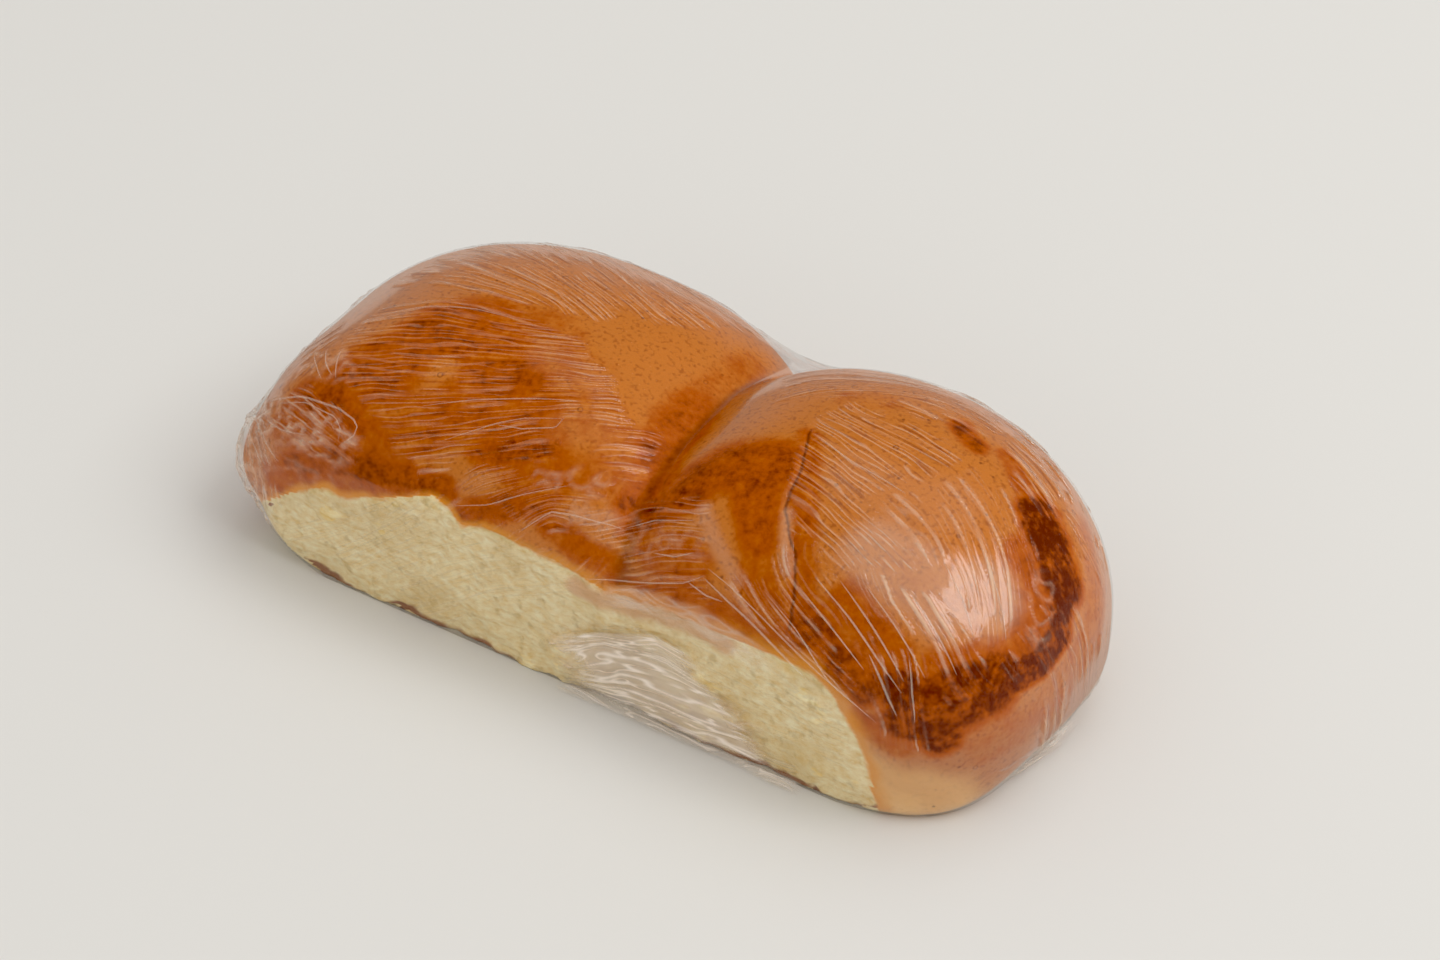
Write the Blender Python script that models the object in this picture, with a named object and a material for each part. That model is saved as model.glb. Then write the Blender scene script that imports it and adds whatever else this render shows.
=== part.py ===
"""A pair of sweet buns baked side by side, torn off their row and wrapped in clear film.

Metres, +Z up. X runs along the torn front, Y goes from the torn front to the back crust,
and the origin is on the floor under the middle of the bounding box. The solid is the wrapped
pair: its skin is the film, which lies on the crust and rounds the valley between the buns.
"""

from dataclasses import dataclass

import bmesh
import bpy
import numpy as np
from mathutils import Vector, noise

MM = 0.001

# Levels and planes that both buns share.
WAIST_Z = 17.0 * MM  # the widest level, where the crown starts to curve in
SOLE_DROP = 19.0 * MM  # how far below the waist the rounded underside would reach
TORN_Y = -42.3 * MM  # the torn front, a nearly upright face
FLOOR_Z = 0.0

# The film stands off the crust and spans the valley between the buns, mostly at the back.
FILM_STAND_OFF = 0.35 * MM
VALLEY_ROUNDING = 6.0 * MM
WEB_ROUNDING = 24.0 * MM
WEB_FROM_Y = 5.0 * MM
WEB_TO_Y = 38.0 * MM

# Curvature of the buns, as the exponent of a rounded box: 2 is an ellipse.
CROWN_POWER = 2.2
SOLE_POWER = 3.6
TORN_SOLE_POWER = 6.0  # the torn front runs down to the floor with hardly any rounding
TORN_SOLE_FROM, TORN_SOLE_TO = 0.4, 0.9  # where that starts and ends, as shares of the front reach

# The torn crumb, as (depth, width, height) of its bumps, from coarse to fine.
CRUMB_BUMPS = (
    (1.3 * MM, 19.0 * MM, 12.0 * MM),
    (0.8 * MM, 8.0 * MM, 5.5 * MM),
    (0.4 * MM, 3.6 * MM, 3.0 * MM),
)

# A fold in the crust of the smaller bun, as seen from above, from back to front.
FOLD_LINE = ((28.8, -2.5), (31.8, -12.5), (34.8, -24.5), (37.8, -28.5), (44.3, -37.5))
FOLD_DEPTH = 0.9 * MM
FOLD_WIDTH = 1.6 * MM

SPHERE_SUBDIVISIONS = 7
KEPT_SHARE = 0.134  # of the fine sphere's triangles
STRETCH = (1.7, 1.0, 0.8)  # spreads the sphere's points evenly over the long bun
HEART = (2.8 * MM, -0.8 * MM, 17.0 * MM)  # every ray from here meets the skin once
LONGEST_RAY = 150.0 * MM
HALVINGS = 26


@dataclass
class Bun:
    """One bun of the pair: its centre, its reach each way, and how square each corner is."""

    x: float
    y: float
    left: float
    right: float
    front: float
    back: float
    crown: float
    front_left: float
    front_right: float
    back_left: float
    back_right: float


LARGE_BUN = Bun(
    x=-35.7 * MM,
    y=-1.3 * MM,
    left=51.5 * MM,
    right=54.5 * MM,
    front=44.0 * MM,
    back=44.5 * MM,
    crown=34.5 * MM,
    front_left=4.6,
    front_right=5.3,
    back_left=2.2,
    back_right=2.6,
)
SMALL_BUN = Bun(
    x=40.8 * MM,
    y=1.2 * MM,
    left=46.5 * MM,
    right=47.5 * MM,
    front=46.0 * MM,
    back=36.5 * MM,
    crown=36.5 * MM,
    front_left=3.9,
    front_right=3.1,
    back_left=2.1,
    back_right=1.9,
)
BUN_SCALE = 45.0 * MM  # turns a bun's pure numbers into lengths


@dataclass
class Mound:
    """A low rounded mound: its centre and its half sizes."""

    centre: tuple
    reach: tuple
    blend: float


# Slack film gathered at the left end of the pair.
GATHER = Mound(
    centre=(-82.2 * MM, -29.0 * MM, 17.0 * MM),
    reach=(6.0 * MM, 11.0 * MM, 9.0 * MM),
    blend=4.0 * MM,
)
# Film folded under the front edge: how far it flares, and over what length and height.
FLARE_REACH = 2.4 * MM
FLARE_X = 24.8 * MM
FLARE_HALF_LENGTH = 26.0 * MM
FLARE_HEIGHT = 3.0 * MM


def rounded_box(across, along, power):
    """The size of a point in a rounded box of half size one."""
    return (np.abs(across) ** power + np.abs(along) ** power) ** (1 / power)


def bun_level(points, bun):
    """Zero on the skin of a bun and below zero inside it, in metres near the skin."""
    x = points[:, 0] - bun.x
    y = points[:, 1] - bun.y
    z = points[:, 2] - WAIST_Z
    across = x / np.where(x < 0, bun.left, bun.right)
    along = y / np.where(y < 0, bun.front, bun.back)
    power = np.where(
        y < 0,
        np.where(x < 0, bun.front_left, bun.front_right),
        np.where(x < 0, bun.back_left, bun.back_right),
    )
    plan = rounded_box(across, along, power)
    upward = z / np.where(z > 0, bun.crown, SOLE_DROP)
    share = np.clip((-along - TORN_SOLE_FROM) / (TORN_SOLE_TO - TORN_SOLE_FROM), 0, 1)
    sole_power = SOLE_POWER + (TORN_SOLE_POWER - SOLE_POWER) * share**2 * (3 - 2 * share)
    size = rounded_box(plan, upward, np.where(z > 0, CROWN_POWER, sole_power))
    return (size - 1) * BUN_SCALE


def mound_level(points, mound):
    scaled = (points - np.array(mound.centre)) / np.array(mound.reach)
    return (np.linalg.norm(scaled, axis=1) - 1) * min(mound.reach)


def joined(a, b, rounding):
    """Two forms run together, with the valley between them filled to this rounding."""
    share = np.clip(0.5 + 0.5 * (b - a) / rounding, 0, 1)
    return b * (1 - share) + a * share - rounding * share * (1 - share)


def torn_front(directions):
    """Where the torn face lies in Y for each ray: the plane, its crags and the film's flare."""
    heart = np.array(HEART)
    forward = np.minimum(directions[:, 1], -1e-3)
    hits = heart + directions * ((TORN_Y - heart[1]) / forward)[:, None]
    front = np.full(len(directions), TORN_Y)
    for i in np.nonzero(directions[:, 1] < -0.05)[0]:
        x, _, z = hits[i]
        for step, (depth, width, height) in enumerate(CRUMB_BUMPS):
            front[i] += depth * noise.noise(Vector((x / width, z / height, 3.1 * step)))
    along = np.clip(1 - ((hits[:, 0] - FLARE_X) / FLARE_HALF_LENGTH) ** 2, 0, 1)
    up = np.exp(-np.maximum(hits[:, 2], 0) / FLARE_HEIGHT)
    return front - FLARE_REACH * along * up


def skin_level(points, front):
    """Zero on the film, below zero inside."""
    share = np.clip((points[:, 1] - WEB_FROM_Y) / (WEB_TO_Y - WEB_FROM_Y), 0, 1)
    rounding = VALLEY_ROUNDING + (WEB_ROUNDING - VALLEY_ROUNDING) * share**2 * (3 - 2 * share)
    level = joined(bun_level(points, LARGE_BUN), bun_level(points, SMALL_BUN), rounding)
    level = joined(level - FILM_STAND_OFF, mound_level(points, GATHER), GATHER.blend)
    level = np.maximum(level, front - points[:, 1])
    return np.maximum(level, FLOOR_Z - points[:, 2])


def skin_along(directions):
    """The point where each ray from the heart meets the film, found by halving."""
    heart = np.array(HEART)
    front = torn_front(directions)
    near = np.zeros(len(directions))
    far = np.full(len(directions), LONGEST_RAY)
    for _ in range(HALVINGS):
        middle = (near + far) / 2
        inside = skin_level(heart + directions * middle[:, None], front) < 0
        near = np.where(inside, middle, near)
        far = np.where(inside, far, middle)
    return heart + directions * near[:, None]


def distance_to_line(points, line):
    """The plan distance from each point to a line of straight pieces."""
    flat = points[:, :2]
    nearest = np.full(len(points), 1.0)
    for start, end in zip(line[:-1], line[1:]):
        a = np.array(start) * MM
        run = np.array(end) * MM - a
        share = np.clip((flat - a) @ run / (run @ run), 0, 1)
        nearest = np.minimum(nearest, np.linalg.norm(flat - a - share[:, None] * run, axis=1))
    return nearest


def press_fold(points, directions):
    """Presses the crust's fold into the crown of the smaller bun."""
    groove = np.exp(-((distance_to_line(points, FOLD_LINE) / FOLD_WIDTH) ** 2))
    groove *= points[:, 2] > WAIST_Z
    return points - directions * (FOLD_DEPTH * groove)[:, None]


def crust_under_film():
    """Egg-washed crust, glossy under its film."""
    material = bpy.data.materials.new("crust_under_film")
    material.use_nodes = True
    shader = material.node_tree.nodes["Principled BSDF"]
    shader.inputs["Base Color"].default_value = (0.42, 0.16, 0.045, 1)
    shader.inputs["Roughness"].default_value = 0.3
    shader.inputs["Metallic"].default_value = 0.0
    return material


def wrapped_buns():
    """A fine sphere, each point of it moved along its ray to the film."""
    sphere = bmesh.new()
    bmesh.ops.create_icosphere(sphere, subdivisions=SPHERE_SUBDIVISIONS, radius=1)
    directions = np.array([vertex.co for vertex in sphere.verts]) * np.array(STRETCH)
    directions /= np.linalg.norm(directions, axis=1)[:, None]
    points = press_fold(skin_along(directions), directions)
    low, high = points.min(0), points.max(0)
    points -= np.array([(low[0] + high[0]) / 2, (low[1] + high[1]) / 2, low[2]])
    for vertex, point in zip(sphere.verts, points):
        vertex.co = point
    mesh = bpy.data.meshes.new("wrapped_buns")
    sphere.to_mesh(mesh)
    sphere.free()
    mesh.shade_smooth()
    mesh.materials.append(crust_under_film())
    buns = bpy.data.objects.new("wrapped_buns", mesh)
    bpy.context.scene.collection.objects.link(buns)
    fewer = buns.modifiers.new("fewer_triangles", "DECIMATE")
    fewer.ratio = KEPT_SHARE
    print("moved by, in mm:", ((low + high) / 2 / MM).round(2), "box:", ((high - low) / MM).round(2))
    return buns


for leftover in list(bpy.data.objects):
    bpy.data.objects.remove(leftover)
wrapped_buns()
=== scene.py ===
# %% [markdown]
# # A pair of sweet buns in clear film
# Two sweet buns baked so close that they grew into one loaf. It was torn off its row along the
# front, which bares the crumb, and then wrapped tightly in clear film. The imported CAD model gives
# the size and the place; this file models the bread and the film that its one solid stands for.

# %% Load the frame
import math

import bpy
import numpy as np
from mathutils import Matrix, Vector, noise
from mathutils.kdtree import KDTree


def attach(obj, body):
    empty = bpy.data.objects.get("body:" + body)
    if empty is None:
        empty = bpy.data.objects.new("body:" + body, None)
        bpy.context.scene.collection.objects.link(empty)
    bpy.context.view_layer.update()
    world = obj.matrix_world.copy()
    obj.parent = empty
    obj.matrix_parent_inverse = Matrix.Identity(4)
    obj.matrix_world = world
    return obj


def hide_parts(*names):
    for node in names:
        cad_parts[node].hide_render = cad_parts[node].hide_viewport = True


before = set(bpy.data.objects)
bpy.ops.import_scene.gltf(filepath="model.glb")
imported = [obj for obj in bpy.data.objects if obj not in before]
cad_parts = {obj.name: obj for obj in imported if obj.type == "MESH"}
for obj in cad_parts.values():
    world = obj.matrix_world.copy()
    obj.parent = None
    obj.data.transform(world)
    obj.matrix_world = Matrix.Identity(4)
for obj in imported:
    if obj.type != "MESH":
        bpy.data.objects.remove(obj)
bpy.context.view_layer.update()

MM = 0.001

# %% [markdown]
# The camera comes first, because some marks on the bread are placed by where the photo shows
# them. A portrait lens looks down at 40 degrees from the front right. One function turns a place
# in the photo into a ray, so that a mark can be dropped onto the form that carries it, and one
# more finds where points of the model show in the photo.

# %% Camera
PHOTO_WIDTH, PHOTO_HEIGHT = 1440, 960
LENS, SENSOR = 85.0, 36.0
CAMERA_TURN, CAMERA_RISE = math.radians(32.0), math.radians(40.0)
CAMERA_DISTANCE = 680.0
CAMERA_TARGET = np.array([0.8, 7.2, 18.0])
NEAREST_SEEN = 20.0

AWAY = np.array([
    math.sin(CAMERA_TURN) * math.cos(CAMERA_RISE),
    -math.cos(CAMERA_TURN) * math.cos(CAMERA_RISE),
    math.sin(CAMERA_RISE),
])
RIGHTWARD = np.array([math.cos(CAMERA_TURN), math.sin(CAMERA_TURN), 0.0])
UPWARD = np.cross(AWAY, RIGHTWARD)
EYE = CAMERA_TARGET + AWAY * CAMERA_DISTANCE
PIXELS_PER_SLOPE = PHOTO_WIDTH * LENS / SENSOR


def rays_through(places):
    """Unit rays from the camera through places given as photo pixels."""
    places = np.asarray(places, float)
    across = (places[:, 0] - PHOTO_WIDTH / 2) / PIXELS_PER_SLOPE
    down = (places[:, 1] - PHOTO_HEIGHT / 2) / PIXELS_PER_SLOPE
    rays = across[:, None] * RIGHTWARD - down[:, None] * UPWARD - AWAY
    return rays / np.linalg.norm(rays, axis=1)[:, None]


def in_photo(points):
    """Where points in mm show in the photo, in its pixels."""
    seen = points - EYE
    away = -(seen @ AWAY)
    across = PHOTO_WIDTH / 2 + PIXELS_PER_SLOPE * (seen @ RIGHTWARD) / away
    down = PHOTO_HEIGHT / 2 - PIXELS_PER_SLOPE * (seen @ UPWARD) / away
    return across, down


camera_data = bpy.data.cameras.new("camera")
camera_data.lens = LENS
camera_data.sensor_width = SENSOR
camera_data.clip_start = NEAREST_SEEN * MM
camera = bpy.data.objects.new("camera", camera_data)
bpy.context.scene.collection.objects.link(camera)
turn = Matrix([RIGHTWARD, UPWARD, AWAY]).transposed().to_4x4()
camera.matrix_world = Matrix.Translation(Vector(EYE * MM)) @ turn
bpy.context.scene.camera = camera
print("camera at", (EYE / 10).round(1), "cm")

# %% [markdown]
# Colours are written as sRGB hex values, the way that a paint picker shows them. Shaders work in
# linear light, so one function converts them, and one more adds a node with its settings. Masks
# that ease in and out share one setting.

# %% Colour and node helpers
SOFTLY = {"interpolation_type": "SMOOTHSTEP"}


def linear(hex_colour):
    """A hex sRGB colour as linear red, green, blue and alpha."""
    channels = [int(hex_colour[i:i + 2], 16) / 255 for i in (1, 3, 5)]
    return [c / 12.92 if c <= 0.04045 else ((c + 0.055) / 1.055) ** 2.4 for c in channels] + [1.0]


def node(tree, kind, inputs=None, **settings):
    """Adds a shader node. Inputs are values, sockets, or nodes that give their first output."""
    made = tree.nodes.new("ShaderNode" + kind)
    for name, value in settings.items():
        setattr(made, name, value)
    for key, value in (inputs or {}).items():
        value = value.outputs[0] if isinstance(value, bpy.types.Node) else value
        if isinstance(value, bpy.types.NodeSocket):
            tree.links.new(value, made.inputs[key])
        else:
            made.inputs[key].default_value = value
    return made


def new_material(name):
    material = bpy.data.materials.new(name)
    material.use_nodes = True
    material.node_tree.nodes.clear()
    return material, material.node_tree


print("mid grey is", round(linear("#808080")[0], 3), "in linear light")

# %% [markdown]
# The studio is a pale seamless table. A big soft light hangs to the right, and gives the glare on
# the small bun and the shadow on the left; a wide one above the back and a low one in front fill
# in without glare. The backdrop lights the bread evenly. What the film mirrors of it is dim, a
# little near the table and hardly any above, so that the crowns stay clear.

# %% Table
BLACK_LEVEL = 0.02
TABLE_SIZE = 6.0
view = bpy.context.scene.view_settings
view.view_transform = "Standard"
view.look = "None"
view.use_curve_mapping = True
view.curve_mapping.black_level = (BLACK_LEVEL, BLACK_LEVEL, BLACK_LEVEL)

table_material, tree = new_material("matt white laminate")
table_shader = node(tree, "BsdfPrincipled", {
    "Base Color": linear("#dddcd9"), "Roughness": 0.85, "Specular IOR Level": 0.1})
node(tree, "OutputMaterial", {"Surface": table_shader})
bpy.ops.object.select_all(action="DESELECT")
bpy.ops.mesh.primitive_plane_add(size=TABLE_SIZE, location=(0, 0, 0))
table = bpy.context.object
table.name = "table"
table.data.materials.append(table_material)
print("table", TABLE_SIZE, "m wide")


# %% Lights
def soft_light(name, turn_deg, rise_deg, distance, size, radiance, aim=(0.0, 0.0, 0.02)):
    """A square soft box that faces the buns from this turn and rise, as bright as this radiance."""
    turn, rise = math.radians(turn_deg), math.radians(rise_deg)
    back = Vector((math.sin(turn) * math.cos(rise), -math.cos(turn) * math.cos(rise), math.sin(rise)))
    light = bpy.data.lights.new(name, "AREA")
    light.shape = "RECTANGLE"
    light.size, light.size_y = size
    light.energy = radiance * math.pi * size[0] * size[1]
    lamp = bpy.data.objects.new(name, light)
    lamp.location = Vector(aim) + back * distance
    lamp.rotation_euler = back.to_track_quat("Z", "Y").to_euler()
    bpy.context.scene.collection.objects.link(lamp)
    print(name, "shines from", distance, "m away")
    return lamp


soft_light("right soft box", 100, 51, 2.4, (1.6, 1.35), 3.4)
overhead = soft_light("overhead soft box", 165, 64, 2.2, (1.7, 1.3), 1.2)
overhead.visible_glossy = False
front_fill = soft_light("front fill", 5, 22, 2.2, (2.6, 1.0), 0.5)
front_fill.visible_glossy = False

# %% Backdrop
BACKDROP_LIGHT = 0.61
MIRRORED_LOW, MIRRORED_HIGH = 0.33, 0.07
world = bpy.data.worlds.new("studio backdrop")
bpy.context.scene.world = world
world.use_nodes = True
tree = world.node_tree
tree.nodes.clear()
where = node(tree, "TexCoord").outputs["Generated"]
height = node(tree, "SeparateXYZ", {0: where}).outputs["Z"]
mirrored = node(tree, "MapRange", {
    "Value": height, "From Min": 0.2, "From Max": 0.6,
    "To Min": MIRRORED_LOW, "To Max": MIRRORED_HIGH}, **SOFTLY)
in_gloss = node(tree, "LightPath").outputs["Is Glossy Ray"]
strength = node(tree, "Mix", {0: in_gloss, 2: BACKDROP_LIGHT, 3: mirrored})
backdrop = node(tree, "Background", {0: linear("#fffcf7"), 1: strength})
node(tree, "OutputWorld", {0: backdrop})
print("backdrop shines at", BACKDROP_LIGHT, "and is mirrored at", MIRRORED_LOW, "to", MIRRORED_HIGH)

# %% [markdown]
# Each bun is a rounded box: an ellipse whose sides are pushed out towards a box. It reaches a
# different way on each side, as dough does that grew against its neighbour. The numbers are the
# CAD part's own, in millimetres. Only the underside is followed more closely here: it reaches
# lower along the torn front, and it is rounder at the left end.

# %% The form of the buns
WAIST_Z, SOLE_DROP = 17.0, 19.0
CROWN_POWER, SOLE_POWER, TORN_SOLE_POWER = 2.2, 3.6, 6.0
TORN_SOLE_FROM, TORN_SOLE_TO, TORN_SOLE_DROP = 0.4, 0.9, 2.5
LEFT_SOLE_FROM, LEFT_SOLE_TO = -92.0, -52.0  # along X
BUN_SCALE = 45.0
TORN_Y = -42.3
LARGE_BUN = dict(
    x=-35.7, y=-1.3, left=51.5, right=54.5, front=44.0, back=44.5, crown=34.5,
    front_left=4.6, front_right=5.3, back_left=2.2, back_right=2.6,
)
SMALL_BUN = dict(
    x=40.8, y=1.2, left=46.5, right=47.5, front=46.0, back=36.5, crown=36.5,
    front_left=3.9, front_right=3.1, back_left=2.1, back_right=1.9,
)
HEART = np.array([2.8, -0.8, 17.0])
LONGEST_RAY = 150.0
CRUMB_BUMPS = ((1.3, 19.0, 12.0), (0.8, 8.0, 5.5), (0.4, 3.6, 3.0))
SEED_STEP = 17.3  # each seed reads the noise from another place
GATHER = dict(centre=np.array([-82.2, -29.0, 17.0]), reach=np.array([6.0, 11.0, 9.0]), blend=4.0)


def smooth_step(value, low, high):
    share = np.clip((value - low) / (high - low), 0, 1)
    return share * share * (3 - 2 * share)


def bun_level(points, bun):
    """Zero on the skin of a bun and below zero inside it, in mm near the skin."""
    x, y, z = points[:, 0] - bun["x"], points[:, 1] - bun["y"], points[:, 2] - WAIST_Z
    across = x / np.where(x < 0, bun["left"], bun["right"])
    along = y / np.where(y < 0, bun["front"], bun["back"])
    front = np.where(x < 0, bun["front_left"], bun["front_right"])
    back = np.where(x < 0, bun["back_left"], bun["back_right"])
    power = np.where(y < 0, front, back)
    plan = (np.abs(across) ** power + np.abs(along) ** power) ** (1 / power)
    at_front = smooth_step(-along, TORN_SOLE_FROM, TORN_SOLE_TO)
    at_front = at_front * smooth_step(points[:, 0], LEFT_SOLE_FROM, LEFT_SOLE_TO)
    upward = z / np.where(z > 0, bun["crown"], SOLE_DROP + TORN_SOLE_DROP * at_front)
    power = np.where(z > 0, CROWN_POWER, SOLE_POWER + (TORN_SOLE_POWER - SOLE_POWER) * at_front)
    return ((plan ** power + np.abs(upward) ** power) ** (1 / power) - 1) * BUN_SCALE


def joined(a, b, rounding):
    """Two forms run together, with the valley between them filled to this rounding."""
    share = np.clip(0.5 + 0.5 * (b - a) / rounding, 0, 1)
    return b * (1 - share) + a * share - rounding * share * (1 - share)


def gather_level(points, inset=0.0):
    """The same for the slack film gathered at the left end, or for a mound this much smaller."""
    reach = GATHER["reach"] - inset
    return (np.linalg.norm((points - GATHER["centre"]) / reach, axis=1) - 1) * reach.min()


for bun in (LARGE_BUN, SMALL_BUN):
    print("a bun", bun["left"] + bun["right"], "mm long and", bun["front"] + bun["back"], "mm deep")


# %% Finding the skin
def halve_to(level, start, rays, far, steps=26):
    """Where each ray from a start inside the form leaves it."""
    near, far = np.zeros(len(rays)), np.full(len(rays), far)
    for _ in range(steps):
        middle = (near + far) / 2
        inside = level(start + rays * middle[:, None]) < 0
        near, far = np.where(inside, middle, near), np.where(inside, far, middle)
    return start + rays * near[:, None]


def rough(points, size, seed):
    """Smooth noise between about -1 and 1, with bumps of this size in mm."""
    size = np.broadcast_to(np.asarray(size, float), 3)
    return np.array([noise.noise(Vector(p)) for p in points / size + seed * SEED_STEP])


top = halve_to(gather_level, GATHER["centre"], np.array([[0.0, 0.0, 1.0]]), 20.0)
print("the gathered film reaches up to", top[0, 2].round(1), "mm")

# %% [markdown]
# A place in the photo becomes a point on the buns by walking along its ray to the first form it
# meets. A mark that starts this way stays on the crust, whichever side it is seen from.

# %% Places on the buns
PLAIN_VALLEY = 1.5
WALK_BEFORE, WALK_STEPS = 130.0, 260.0  # in steps of 1 mm
PATCH_BUMP, PATCH_RAGGED = 8.0, 0.22


def plain_level(points):
    level = joined(bun_level(points, LARGE_BUN), bun_level(points, SMALL_BUN), PLAIN_VALLEY)
    return np.maximum(np.maximum(level, TORN_Y - points[:, 1]), -points[:, 2])


def seen_at(places):
    """The points on the buns that the photo shows at these pixels, or just outside their outline."""
    rays = rays_through(places)
    steps = CAMERA_DISTANCE - WALK_BEFORE + np.arange(WALK_STEPS)
    walk = EYE + steps[:, None, None] * rays
    levels = plain_level(walk.reshape(-1, 3)).reshape(len(steps), -1)
    first = np.where((levels <= 0).any(0), (levels <= 0).argmax(0), levels.argmin(0))
    return walk[first, np.arange(len(rays))]


def on_table(places):
    """The points on the table that the photo shows at these pixels."""
    rays = rays_through(places)
    return EYE - rays * (EYE[2] / rays[:, 2])[:, None]


def distance_to(points, line):
    """Distance in mm from each point to a line of straight pieces."""
    nearest = np.full(len(points), 1e3)
    for start, end in zip(line[:-1], line[1:]):
        run = end - start
        share = np.clip((points - start) @ run / max(run @ run, 1e-9), 0, 1)
        nearest = np.minimum(nearest, np.linalg.norm(points - start - share[:, None] * run, axis=1))
    return nearest


def patches_at(points, patches):
    """The strongest of several soft patches at each point."""
    value = np.zeros(len(points))
    ragged = PATCH_RAGGED * rough(points, PATCH_BUMP, 14)
    for places, reach, strength in patches:
        near = distance_to(points, seen_at(places)) / reach + ragged
        value = np.maximum(value, strength * (1 - smooth_step(near, 0.5, 1.3)))
    return value


print("the photo's middle shows", seen_at([(720, 480)])[0].round(1), "mm")

# %% [markdown]
# The film was pulled tight over the buns and gathered at the left end, and each pull left
# fine lines that run with it. A few guide lines a stretch say which way it was pulled. From them
# every point gets two measures, how far along the pull and how far across it, and a pattern
# drawn on those two runs with the pull like hair that is combed.

# %% Guide lines
PULLS = [
    # stretch, strength of its fine lines and of its bold folds, guide lines in photo pixels
    ("back of the large crown", 1.0, 0.6, [
        [(405, 283), (470, 288), (540, 310)], [(470, 252), (530, 272), (590, 312)],
        [(545, 246), (600, 275), (655, 320)], [(600, 252), (655, 290), (710, 325)],
        [(640, 268), (700, 300), (752, 335)]]),
    ("left flank", 0.6, 0.3, [
        [(256, 415), (285, 372), (330, 335)], [(275, 425), (310, 385), (345, 352)]]),
    ("front of the large crown", 0.9, 0.35, [
        [(390, 312), (440, 308), (545, 328)], [(350, 345), (430, 340), (575, 358)],
        [(350, 372), (440, 375), (592, 382)], [(380, 400), (480, 400), (612, 400)],
        [(400, 430), (480, 425), (620, 420)], [(420, 452), (510, 440), (645, 440)],
        [(440, 478), (530, 470), (640, 468)]]),
    ("left gather", 0.8, 1.0, [
        [(267, 411), (285, 424), (304, 437)], [(285, 402), (315, 425), (348, 448)],
        [(308, 400), (330, 420), (350, 440)]]),
    ("left end", 0.6, 0.9, [
        [(247, 430), (250, 465), (258, 500)], [(264, 418), (272, 450), (283, 485)]]),
    ("front shoulder of the large bun", 0.8, 0.4, [
        [(448, 506), (465, 492), (482, 478)], [(457, 507), (493, 505), (560, 487)],
        [(521, 532), (552, 512), (582, 520), (631, 528)], [(533, 546), (579, 536), (631, 543)]]),
    ("fine diagonals on the small bun", 1.0, 0.2, [
        [(852, 412), (915, 440), (985, 490)], [(830, 425), (885, 455), (955, 510)],
        [(812, 450), (865, 490), (935, 550)],
        [(805, 500), (850, 545), (915, 610)], [(800, 540), (845, 585), (880, 620)]]),
    ("bold diagonals on the small bun", 0.5, 1.0, [
        [(796, 560), (845, 608), (900, 665)], [(770, 590), (815, 640), (870, 695)],
        [(740, 585), (775, 630), (830, 680)]]),
    ("ridges in the glare", 0.4, 0.9, [
        [(897, 507), (936, 551), (950, 640)], [(930, 500), (965, 560), (985, 640)],
        [(970, 481), (1000, 529), (1020, 610)], [(1000, 500), (1020, 540), (1040, 620)]]),
    ("lower ridges", 0.5, 1.0, [
        [(862, 590), (888, 625), (920, 690)], [(888, 603), (925, 650), (950, 694)],
        [(930, 600), (955, 635), (980, 680)]]),
    ("steep ridges", 0.4, 1.0, [
        [(862, 645), (882, 690), (893, 725)], [(904, 655), (912, 700), (918, 738)]]),
    ("right band", 1.0, 0.9, [
        [(880, 398), (960, 430), (1045, 510), (1070, 560)],
        [(932, 400), (1000, 432), (1058, 492), (1084, 550)],
        [(960, 395), (1020, 428), (1070, 480), (1098, 540)]]),
    ("right end", 0.9, 0.8, [
        [(1078, 545), (1086, 590), (1082, 640), (1062, 700)],
        [(1098, 545), (1106, 600), (1102, 650), (1080, 705)]]),
    ("back of the small bun", 0.9, 0.3, [
        [(805, 378), (860, 377), (930, 388)], [(790, 398), (850, 392), (940, 402), (990, 430)]]),
    ("arcs by the valley", 0.8, 0.4, [
        [(600, 525), (665, 510), (696, 516)], [(640, 548), (665, 540), (694, 540)],
        [(635, 575), (665, 568), (692, 570)], [(615, 600), (660, 600), (705, 600)]]),
    ("over the left crumb", 0.3, 0.5, [
        [(300, 530), (340, 525), (390, 505)], [(348, 552), (400, 527), (444, 507)],
        [(400, 580), (470, 560), (540, 551)], [(440, 610), (520, 590), (600, 572)]]),
    ("bunched over the middle crumb", 1.0, 0.9, [
        [(560, 640), (600, 635), (640, 630)], [(572, 655), (605, 650), (650, 650)],
        [(580, 677), (620, 675), (675, 685)], [(600, 690), (660, 700), (730, 722)],
        [(620, 708), (700, 732), (790, 768)]]),
    ("over the right crumb", 0.3, 0.3, [
        [(690, 620), (760, 660), (830, 720)], [(700, 680), (770, 715), (850, 760)]]),
]
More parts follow.
